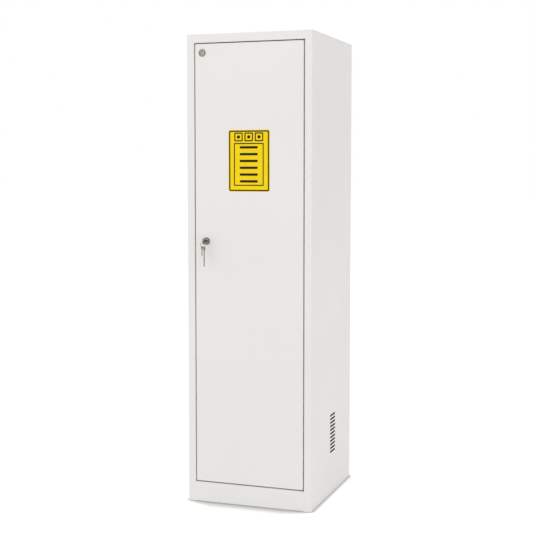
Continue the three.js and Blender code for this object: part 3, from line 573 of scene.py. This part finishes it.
def drawn_lines():
    """Fine lines of drawn, rolled or brushed metal: noise stretched along one direction."""
    group, given, out = new_group(
        "drawn_lines",
        [("Pitch", "NodeSocketVector", (2000.0, 2000.0, 60.0)), ("Contrast", "NodeSocketFloat", 0.5)],
        [("Height", "NodeSocketFloat"), ("Mask", "NodeSocketFloat")],
    )
    along = add_node(group, "ShaderNodeVectorMath", {
        0: object_place(group), 1: given.outputs["Pitch"],
    }, operation="MULTIPLY").outputs[0]
    lines = noise(group, along, 1.0, detail=4.0, roughness=0.6)
    group.links.new(lines, out.inputs["Height"])
    low = math_node(group, "SUBTRACT", 0.7, math_node(group, "MULTIPLY", given.outputs["Contrast"], 0.4))
    group.links.new(ramp(group, lines, low, 0.75), out.inputs["Mask"])


def depth_behind():
    """A band along Y: 0 up to the start, rising to 1 at the full depth, and 0 again past the end."""
    group, given, out = new_group(
        "depth_behind",
        [
            ("Start", "NodeSocketFloat", 0.0), ("Full", "NodeSocketFloat", 0.001),
            ("End", "NodeSocketFloat", 0.01),
        ],
        [("Mask", "NodeSocketFloat")],
    )
    depth = add_node(group, "ShaderNodeSeparateXYZ", {"Vector": object_place(group)}).outputs["Y"]
    low = ramp(group, depth, given.outputs["Start"], given.outputs["Full"])
    past = math_node(group, "GREATER_THAN", depth, given.outputs["End"])
    group.links.new(math_node(group, "SUBTRACT", low, past), out.inputs["Mask"])


class Finish:
    """A material under construction: its tree, its Principled BSDF and the groups placed in it."""

    def __init__(self, name, colour, **values):
        self.material = bpy.data.materials.new(name)
        self.material.use_nodes = True
        self.tree = self.material.node_tree
        self.shader = self.tree.nodes["Principled BSDF"]
        self.colour = (*colour, 1.0)
        self.material.diffuse_color = self.colour
        self.shader.inputs["Base Color"].default_value = self.colour
        for key, value in values.items():
            self.shader.inputs[key.replace("_", " ")].default_value = value

    def group(self, name, **values):
        """One of the shared groups with its own values."""
        node = add_node(self.tree, "ShaderNodeGroup", node_tree=bpy.data.node_groups[name])
        for key, value in values.items():
            node.inputs[key].default_value = value
        return node.outputs

    def link(self, value, name):
        """Feeds one of the shader's inputs from an output."""
        self.tree.links.new(value, self.shader.inputs[name])

    def mix(self, mask, first, second):
        """A colour between two colours, which may be sockets, by a mask."""
        node = add_node(self.tree, "ShaderNodeMix", data_type="RGBA")
        self.tree.links.new(mask, node.inputs["Factor"])
        for socket, value in ((node.inputs[MIX_FIRST], first), (node.inputs[MIX_SECOND], second)):
            if isinstance(value, bpy.types.NodeSocket):
                self.tree.links.new(value, socket)
            else:
                socket.default_value = value
        return node.outputs[MIX_RESULT]

    def shade(self, factor):
        """The finish's own colour, darker or lighter by a factor."""
        return (*[min(channel * factor, 1.0) for channel in self.colour[:3]], 1.0)

    def bump(self, height, distance):
        """Relief of a given depth in metres from a height between 0 and 1."""
        relief = add_node(self.tree, "ShaderNodeBump", {
            "Height": height, "Distance": distance, "Strength": 1.0,
        })
        self.link(relief.outputs["Normal"], "Normal")

    def gloss(self, mask, low, high):
        """Roughness from low, where the mask is 0, to high, where it is 1."""
        self.link(ramp(self.tree, mask, 0.0, 1.0, low, high), "Roughness")


def powder_coat(settings):
    """Semi-matt light grey powder coat: a fine ripple, a faint change of tone, dust on what looks up."""
    finish = Finish("powder_coat", settings.colour, Roughness=settings.roughness)
    grain = finish.group("surface_grain", Size=settings.grain, Patch=0.35)
    dust = finish.group("settled_dust", Amount=0.15, Patch=0.06)
    wear = finish.group("handling_wear", Patch=0.09, Spread=0.4)
    toned = finish.mix(grain["Tone"], finish.shade(0.985), finish.shade(1.012))
    finish.link(finish.mix(dust["Mask"], toned, DUST_ON_PAINT), "Base Color")
    finish.gloss(wear["Mask"], settings.roughness + 0.03, settings.roughness - 0.06)
    finish.bump(grain["Height"], settings.relief)
    return finish.material


def plated_metal(name, colour, roughness, tint, pitch, patch):
    """Bright plated metal: drawn lines in its gloss, and a rubbed tint that varies from patch to patch."""
    finish = Finish(name, colour, Metallic=1.0, Roughness=roughness)
    lines = finish.group("drawn_lines", Pitch=pitch, Contrast=0.6)
    wear = finish.group("handling_wear", Patch=patch, Spread=0.7)
    finish.link(finish.mix(wear["Mask"], finish.colour, (*tint, 1.0)), "Base Color")
    finish.gloss(lines["Mask"], roughness - 0.04, roughness + 0.1)
    finish.bump(lines["Height"], 0.00002)
    return finish.material


def greased_and_shaded_metal(name, colour, roughness, grease_and_shade, start, full, end):
    """Nickel plate that is bright on its raised faces and darker lower down, with grease and painted shade.

    The grease and painted shade start at the height start before the door's face, are full at the height
    full and go as far as the depth end behind the face.
    """
    finish = Finish(name, colour, Metallic=1.0, Roughness=roughness)
    low = finish.group("depth_behind", Start=FRONT - start, Full=FRONT - full, End=FRONT + end)
    wear = finish.group("handling_wear", Patch=0.004, Spread=0.6)
    worn = finish.mix(wear["Mask"], finish.colour, finish.shade(0.8))
    # Grease and painted shade darken the grooves and keyways, where shade falls.
    finish.link(finish.mix(low["Mask"], worn, (*grease_and_shade, 1.0)), "Base Color")
    finish.gloss(low["Mask"], roughness, roughness + 0.25)
    finish.bump(wear["Mask"], 0.00001)
    return finish.material


def moulded(name, colour, roughness, size, relief, dust):
    """A moulded plastic or rubber with a spark-eroded grain and a little dust."""
    finish = Finish(name, colour, Roughness=roughness)
    grain = finish.group("surface_grain", Size=size, Patch=0.04)
    settled = finish.group("settled_dust", Amount=dust, Patch=0.02)
    toned = finish.mix(grain["Tone"], finish.shade(0.98), finish.shade(1.02))
    finish.link(finish.mix(settled["Mask"], toned, DUST_ON_PLASTIC), "Base Color")
    finish.gloss(grain["Tone"], roughness - 0.05, roughness + 0.06)
    finish.bump(grain["Height"], relief)
    return finish.material


def printed(name, colour, roughness):
    """Stoved ink on a metal plate: a fine screen grain and a faint change of tone."""
    finish = Finish(name, colour, Roughness=roughness, Specular_IOR_Level=0.12)
    grain = finish.group("surface_grain", Size=0.0012, Patch=0.05)
    wear = finish.group("handling_wear", Patch=0.03, Spread=0.35)
    finish.link(finish.mix(grain["Tone"], finish.shade(0.96), finish.shade(1.03)), "Base Color")
    finish.gloss(wear["Mask"], roughness, roughness + 0.12)
    finish.bump(grain["Height"], 0.00001)
    return finish.material


def smooth_forms():
    """A geometry node group that shades a mesh smooth, save at edges sharper than an angle."""
    group = bpy.data.node_groups.new("smooth_forms", "GeometryNodeTree")
    group.is_modifier = True
    group.interface.new_socket(name="Geometry", in_out="INPUT", socket_type="NodeSocketGeometry")
    group.interface.new_socket(name="Angle", in_out="INPUT", socket_type="NodeSocketFloat")
    group.interface.new_socket(name="Geometry", in_out="OUTPUT", socket_type="NodeSocketGeometry")
    given, out = group.nodes.new("NodeGroupInput"), group.nodes.new("NodeGroupOutput")
    bare = add_node(group, "GeometryNodeRemoveAttribute", {
        "Geometry": given.outputs["Geometry"], "Name": "custom_normal",
    }).outputs[0]
    turn = add_node(group, "GeometryNodeInputMeshEdgeAngle").outputs["Unsigned Angle"]
    gentle = add_node(group, "FunctionNodeCompare", {
        0: turn, 1: given.outputs["Angle"],
    }, operation="LESS_EQUAL").outputs["Result"]
    faces = add_node(group, "GeometryNodeSetShadeSmooth", {"Geometry": bare}, domain="FACE").outputs[0]
    edges = add_node(group, "GeometryNodeSetShadeSmooth", {
        "Geometry": faces, "Shade Smooth": gentle,
    }, domain="EDGE").outputs[0]
    group.links.new(edges, out.inputs["Geometry"])
    return group


def coat_nodes(names, material):
    """The material in place of each named node's own."""
    for name in names:
        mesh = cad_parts[name].data
        mesh.materials.clear()
        mesh.materials.append(material)


# Studio


def set_up_camera(studio):
    """The camera of the photograph's view."""
    data = bpy.data.cameras.new("camera")
    data.sensor_width = 36.0
    data.lens = studio.lens
    data.shift_y = studio.rise
    data.clip_end = 200.0
    camera = add_object("camera", data)
    camera.location = studio.camera
    camera.rotation_euler = (math.pi / 2 - studio.dip, 0.0, studio.turn)
    return camera


def lay_floor(studio):
    """A wide round floor: point (i, j) lies at radius i in the direction of angle j."""
    radius = np.array(FLOOR_RINGS)[:, None]
    angle = np.linspace(0, 2 * np.pi, FLOOR_STEPS, endpoint=False)
    x, y = radius * np.cos(angle), radius * np.sin(angle)
    points = np.stack([x, y, np.full_like(x, FLOOR_LEVEL)], axis=-1).reshape(-1, 3)
    faces = grid_faces(len(FLOOR_RINGS), FLOOR_STEPS, False, True).tolist()
    mesh = clean_mesh("studio_floor", points, faces)
    mesh.materials.append(floor_material(studio))
    add_object("studio_floor", mesh)


def painted_contact_shadow(tree, studio):
    """A painted contact shadow: how much of the floor's colour and glow is kept beside the cabinet, by an
    occlusion test.

    The test reaches further before the middle of the front, where the painted shadow of the plinth is wider.
    """
    place = add_node(tree, "ShaderNodeSeparateXYZ", {"Vector": object_place(tree)})
    before = ramp(tree, place.outputs["Y"], FRONT + 0.01, FRONT - 0.01)
    within = ramp(tree, math_node(tree, "ABSOLUTE", place.outputs["X"]), 0.25, 0.15)
    middle = math_node(tree, "MULTIPLY", before, within)
    reach = ramp(tree, middle, 0.0, 1.0, studio.reach, studio.front_reach)
    near = add_node(tree, "ShaderNodeAmbientOcclusion", {"Distance": reach}, samples=32).outputs["AO"]
    return math_node(tree, "POWER", near, studio.depth)


def floor_material(studio):
    """A matt floor. Where it is seen, it glows up to white, and a painted contact shadow darkens it beside the
    cabinet.
    """
    material = bpy.data.materials.new("studio_floor")
    material.use_nodes = True
    tree = material.node_tree
    tree.nodes.remove(tree.nodes["Principled BSDF"])
    rays = add_node(tree, "ShaderNodeLightPath").outputs
    seen = math_node(tree, "MAXIMUM", rays["Is Camera Ray"], rays["Is Glossy Ray"])
    seen = math_node(tree, "MAXIMUM", seen, rays["Is Transmission Ray"])
    # The painted contact shadow darkens both the floor's colour and its glow.
    light = painted_contact_shadow(tree, studio)
    pale = add_node(tree, "ShaderNodeVectorMath", {
        0: studio.floor, "Scale": light,
    }, operation="SCALE").outputs[0]
    matt = add_node(tree, "ShaderNodeBsdfDiffuse", {"Color": pale}).outputs[0]
    plain = add_node(tree, "ShaderNodeBsdfDiffuse", {"Color": PLAIN_FLOOR}).outputs[0]
    strength = math_node(tree, "MULTIPLY", light, studio.glow)
    glow = add_node(tree, "ShaderNodeEmission", {"Color": WHITE, "Strength": strength}).outputs[0]
    bright = add_node(tree, "ShaderNodeAddShader", {0: matt, 1: glow}).outputs[0]
    mixed = add_node(tree, "ShaderNodeMixShader", {0: seen, 1: plain, 2: bright}).outputs[0]
    tree.links.new(mixed, tree.nodes["Material Output"].inputs["Surface"])
    return material


def light_world(scene, studio):
    """Even light from all round, and plain white where the world itself is seen."""
    world = bpy.data.worlds.new("studio_world")
    world.use_nodes = True
    tree = world.node_tree
    rays = add_node(tree, "ShaderNodeLightPath").outputs
    seen = math_node(tree, "MAXIMUM", rays["Is Camera Ray"], rays["Is Transmission Ray"])
    strength = ramp(tree, seen, 0.0, 1.0, studio.world, 1.0)
    background = tree.nodes["Background"]
    background.inputs["Color"].default_value = WHITE
    tree.links.new(strength, background.inputs["Strength"])
    scene.world = world


def hang_lamp(name, place, size, power):
    """A square soft lamp that looks at the middle of the cabinet."""
    data = bpy.data.lights.new(name, "AREA")
    data.shape = "SQUARE"
    data.size = size
    data.energy = power
    lamp = add_object(name, data)
    lamp.location = place
    lamp.rotation_euler = (Vector(MIDDLE) - Vector(place)).to_track_quat("-Z", "Y").to_euler()


# Operators


class CABINET_OT_shader_parts(Operator):
    """Build the node groups that the finishes share"""

    bl_idname = "cabinet.shader_parts"
    bl_label = "Shared shader parts"

    def execute(self, context):
        surface_grain()
        settled_dust()
        handling_wear()
        drawn_lines()
        depth_behind()
        return {"FINISHED"}


class CABINET_OT_painted_steel(Operator):
    """Paint the folded sheet of the body, the door and the trays"""

    bl_idname = "cabinet.painted_steel"
    bl_label = "Painted steel"

    def execute(self, context):
        coat_nodes(PAINTED_PARTS, powder_coat(context.scene.cabinet_paint))
        return {"FINISHED"}


class CABINET_OT_plated_parts(Operator):
    """Plate the lock work, the hangers, the pivots and the keys"""

    bl_idname = "cabinet.plated_parts"
    bl_label = "Plated parts"

    def execute(self, context):
        plating = context.scene.cabinet_plating
        coat_nodes(ZINC_PARTS, plated_metal(
            "passivated_zinc", plating.zinc, roughness=0.36, tint=(0.45, 0.43, 0.37),
            pitch=(900.0, 900.0, 50.0), patch=0.008,
        ))
        # The keys' nickel is painted dark as a dark reflection, besides its rubbed tint.
        coat_nodes(["inserted_key", "key_ring", "long_spare_key", "short_spare_key"], plated_metal(
            "worn_nickel_painted_dark", plating.nickel, roughness=0.26, tint=(0.22, 0.2, 0.17),
            pitch=(1500.0, 1500.0, 80.0), patch=0.006,
        ))
        # The locks' grooves and keyways carry grease and painted shade; the middle lock's keyway is painted
        # nearly black as shade.
        coat_nodes(["upper_lock_body"], greased_and_shaded_metal(
            "bright_rose", plating.rose, roughness=0.3, grease_and_shade=(0.14, 0.11, 0.075),
            start=0.0025, full=0.0017, end=0.0005,
        ))
        coat_nodes(["upper_lock_plug"], greased_and_shaded_metal(
            "bright_plug", plating.post, roughness=0.3, grease_and_shade=(0.06, 0.052, 0.042),
            start=0.0013, full=0.0004, end=0.009,
        ))
        coat_nodes(["lock_body"], greased_and_shaded_metal(
            "worn_shaded_rose", plating.rose, roughness=0.32, grease_and_shade=(0.11, 0.1, 0.085),
            start=0.0028, full=0.0016, end=0.0005,
        ))
        coat_nodes(["lock_plug"], greased_and_shaded_metal(
            "worn_shaded_plug", plating.nickel, roughness=0.34, grease_and_shade=(0.02, 0.018, 0.016),
            start=0.0018, full=0.0008, end=0.028,
        ))
        return {"FINISHED"}


class CABINET_OT_moulded_parts(Operator):
    """Finish the nylon guides, the rubber bumpers and the sump tray"""

    bl_idname = "cabinet.moulded_parts"
    bl_label = "Moulded parts"

    def execute(self, context):
        plating = context.scene.cabinet_plating
        coat_nodes(NYLON_PARTS, moulded(
            "guide_nylon", plating.nylon, roughness=0.45, size=0.0005, relief=0.00002, dust=0.05,
        ))
        coat_nodes(["lower_door_bumper", "upper_door_bumper"], moulded(
            "bumper_rubber", plating.rubber, roughness=0.7, size=0.0008, relief=0.00003, dust=0.1,
        ))
        coat_nodes(["sump_tray"], moulded(
            "tray_polymer", plating.polymer, roughness=0.5, size=0.0012, relief=0.00005, dust=0.3,
        ))
        return {"FINISHED"}


class CABINET_OT_edges(Operator):
    """Break the edges of the metal and moulded parts, and shade their round forms smooth"""

    bl_idname = "cabinet.edges"
    bl_label = "Broken edges"

    def execute(self, context):
        edges = context.scene.cabinet_edges
        forms = smooth_forms()
        angle = forms.interface.items_tree["Angle"].identifier
        for names, width, segments, smooth_below in (
            (ROUND_PARTS, edges.width, 2, edges.angle),
            (FLAT_PARTS, edges.width, 2, edges.facet),
            (["sump_tray"], edges.moulded, 4, edges.facet),
        ):
            for name in names:
                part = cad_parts[name]
                weld = part.modifiers.new("joined_corners", "WELD")
                weld.merge_threshold = 1e-6
                bevel = part.modifiers.new("broken_edges", "BEVEL")
                bevel.width = width
                bevel.segments = segments
                bevel.limit_method = "ANGLE"
                bevel.angle_limit = edges.angle
                smooth = part.modifiers.new("smooth_forms", "NODES")
                smooth.node_group = forms
                smooth[angle] = smooth_below
        return {"FINISHED"}


class CABINET_OT_split_ring(Operator):
    """Wind the split ring in the inserted key's bow, in place of the plain ring"""

    bl_idname = "cabinet.split_ring"
    bl_label = "Split ring"

    def execute(self, context):
        ring = context.scene.cabinet_ring
        low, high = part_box("key_ring")
        height = high.y - low.y
        radius = (high.x - low.x - height) / 2
        wire = split_ring(centre_of("key_ring"), radius, ring.width, height, ring.crossing, ring.steps)
        nickel = bpy.data.materials["worn_nickel_painted_dark"]
        piece = make_piece("split_ring", "key_ring", nickel, [(wire, False, True)])
        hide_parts("key_ring")
        return {"FINISHED"}


class CABINET_OT_welds(Operator):
    """Dress the welds beside the plinth and the top rail, and mark the spot welds on the back"""

    bl_idname = "cabinet.welds"
    bl_label = "Welds"

    def seams(self, welds, top):
        """Four seams just outside the plinth's ends: two beside the plinth and two beside the top rail."""
        outside, plinth_top, door_to_rail, rail_to_top = 0.0015, 0.0746, 0.0066, 0.0024
        rail = (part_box("door_skin")[1].z + door_to_rail, top - rail_to_top)
        middles = [end.x + math.copysign(outside, end.x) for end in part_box("front_plinth")]
        return [
            dressed_seam(middle, welds.fill, low, high)
            for middle in middles for low, high in ((0.0, plinth_top), rail)
        ]

    def spots(self, welds, top):
        """Spot welds up both edges of the back and along its top edge."""
        from_side, from_floor, from_end, half_row, from_top = 0.0085, 0.06, 0.02, 0.165, 0.0075
        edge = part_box("left_side_panel")[0].x + from_side
        heights = np.arange(from_floor, top - from_end, welds.pitch)
        upright = [spot_weld(side * edge, z, welds.spot) for side in (-1, 1) for z in heights]
        # The millimetre past the end keeps a last spot that falls on the end itself.
        across = np.arange(-half_row, half_row + 0.001, welds.pitch)
        return upright + [spot_weld(x, top - from_top, welds.spot) for x in across]

    def execute(self, context):
        welds = context.scene.cabinet_welds
        coat = bpy.data.materials["powder_coat"]
        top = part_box("top_panel")[1].z
        make_piece("dressed_welds", "cabinet", coat, self.seams(welds, top))
        make_piece("spot_welds", "cabinet", coat, self.spots(welds, top))
        return {"FINISHED"}


class CABINET_OT_sign(Operator):
    """Fix the sign plate to the door, with a border, a frame, three boxes and six bars"""

    bl_idname = "cabinet.sign"
    bl_label = "Sign plate"

    def border(self, sign, face):
        """The line inside the plate's margin."""
        inset = 2 * sign.margin
        return flat_frame(
            face, width=sign.width - inset, height=sign.height - inset,
            corner=sign.corner - sign.margin, line=sign.border, relief=INK_RELIEF,
        )

    def fields(self, face):
        """A frame, a row of three boxes above it with a square in each, and six bars in the frame.

        Their places are measured from the middle of the plate's face.
        """
        left, depth, middle = face[0] - 0.001, face[1], face[2]
        frame_below, box_above, box_pitch, bar_above, bar_pitch = 0.0134, 0.0895, 0.041, 0.0505, 0.0255
        shells = [flat_frame(
            (left, depth, middle - frame_below),
            width=0.1191, height=0.1608, corner=0.003, line=0.004, relief=INK_RELIEF,
        )]
        for across in (-box_pitch, 0.0, box_pitch):
            place = (left + across, depth, middle + box_above)
            shells.append(flat_frame(
                place, width=0.034, height=0.033, corner=0.004, line=0.0045, relief=INK_RELIEF,
            ))
            shells.append(flat_plate(place, width=0.012, height=0.012, corner=0.004, relief=INK_RELIEF))
        for row in range(6):
            place = (left, depth, middle + bar_above - bar_pitch * row)
            shells.append(flat_plate(place, width=0.072, height=0.009, corner=0.003, relief=INK_RELIEF))
        return shells

    def execute(self, context):
        sign = context.scene.cabinet_sign
        yellow = printed("sign_yellow", sign.yellow, roughness=0.36)
        ink = printed("sign_ink", sign.ink, roughness=0.42)
        gap, sunk = 0.0001, 0.00002
        back = (sign.across, FRONT - gap, sign.above)
        face = (sign.across, FRONT - gap - sign.thickness + sunk, sign.above)
        make_piece("sign_plate", "door", yellow, [
            flat_plate(back, sign.width, sign.height, sign.corner, sign.thickness),
        ])
        make_piece("sign_lines", "door", ink, [self.border(sign, face), *self.fields(face)])
        return {"FINISHED"}


class CABINET_OT_stage(Operator):
    """Lay the floor, hang the lamps and set up the camera"""

    bl_idname = "cabinet.stage"
    bl_label = "Studio"

    def execute(self, context):
        studio = context.scene.cabinet_studio
        scene = context.scene
        scene.view_settings.view_transform = "Standard"
        lay_floor(studio)
        light_world(scene, studio)
        hang_lamp("key_lamp", *KEY_LAMP, studio.key)
        hang_lamp("fill_lamp", *FILL_LAMP, studio.fill)
        scene.camera = set_up_camera(studio)
        return {"FINISHED"}


class CABINET_PT_panel(Panel):
    """The cabinet's pieces and their settings"""

    bl_label = "Corrosives Cabinet"
    bl_idname = "CABINET_PT_panel"
    bl_space_type = "VIEW_3D"
    bl_region_type = "UI"
    bl_category = "Cabinet"

    def draw(self, context):
        for operator in OPERATORS:
            self.layout.operator(operator.bl_idname)
        for holder, _ in SETTINGS:
            box = self.layout.box()
            settings = getattr(context.scene, holder)
            for key in settings.__annotations__:
                box.prop(settings, key)


SETTINGS = [
    ("cabinet_paint", PaintSettings),
    ("cabinet_plating", PlatingSettings),
    ("cabinet_sign", SignSettings),
    ("cabinet_edges", EdgeSettings),
    ("cabinet_ring", RingSettings),
    ("cabinet_welds", WeldSettings),
    ("cabinet_studio", StudioSettings),
]
OPERATORS = [
    CABINET_OT_shader_parts,
    CABINET_OT_painted_steel,
    CABINET_OT_plated_parts,
    CABINET_OT_moulded_parts,
    CABINET_OT_edges,
    CABINET_OT_split_ring,
    CABINET_OT_welds,
    CABINET_OT_sign,
    CABINET_OT_stage,
]


def register():
    for holder, settings in SETTINGS:
        bpy.utils.register_class(settings)
        setattr(bpy.types.Scene, holder, PointerProperty(type=settings))
    for operator in OPERATORS:
        bpy.utils.register_class(operator)
    bpy.utils.register_class(CABINET_PT_panel)


def unregister():
    bpy.utils.unregister_class(CABINET_PT_panel)
    for operator in reversed(OPERATORS):
        bpy.utils.unregister_class(operator)
    for holder, settings in reversed(SETTINGS):
        delattr(bpy.types.Scene, holder)
        bpy.utils.unregister_class(settings)


def main():
    register()
    for operator in OPERATORS:
        group, name = operator.bl_idname.split(".")
        getattr(getattr(bpy.ops, group), name)()


if __name__ == "__main__":
    main()
